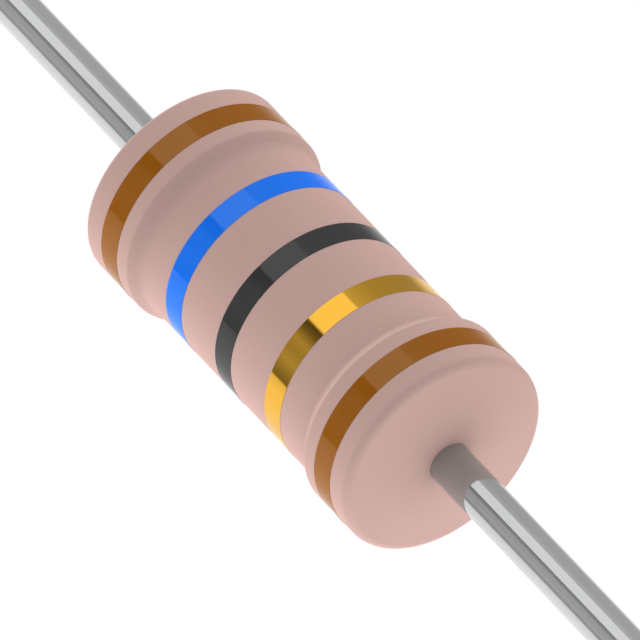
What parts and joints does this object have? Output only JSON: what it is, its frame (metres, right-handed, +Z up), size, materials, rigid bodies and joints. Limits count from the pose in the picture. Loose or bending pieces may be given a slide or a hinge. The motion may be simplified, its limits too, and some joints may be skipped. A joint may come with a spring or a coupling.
{
  "type": "axial resistor",
  "caption": "Film resistor with a lacquered dog-bone body, printed colour bands and a straight wire lead out of each end.",
  "frame": {"origin": "centre of the body, on the common axis of body and leads", "axes": "+X along the leads, from the band next to the blue one towards the band next to the gold one; +Z up, +Y to the back"},
  "size_m": [0.0646, 0.0042, 0.0042],
  "materials": {
    "ceramic": "matt white, unglazed",
    "film": "thin metal film, dull",
    "cap_steel": "pressed sheet, tin plated",
    "tinned_wire": "bright tinned copper wire",
    "lacquer_pink": "smooth pink lacquer with a soft satin sheen",
    "paint_brown": "glossy printed paint",
    "paint_blue": "glossy printed paint",
    "paint_black": "glossy printed paint",
    "paint_gold": "metallic gold paint"
  },
  "bodies": {
    "root": {"ceramic_rod": "ceramic", "resistive_film": "film", "end_cap_left": "cap_steel", "end_cap_right": "cap_steel", "lead_left": "tinned_wire", "lead_right": "tinned_wire", "coating": "lacquer_pink", "band_1_brown": "paint_brown", "band_2_blue": "paint_blue", "band_3_black": "paint_black", "band_4_gold": "paint_gold", "band_5_brown": "paint_brown"}
  },
  "joints": []
}
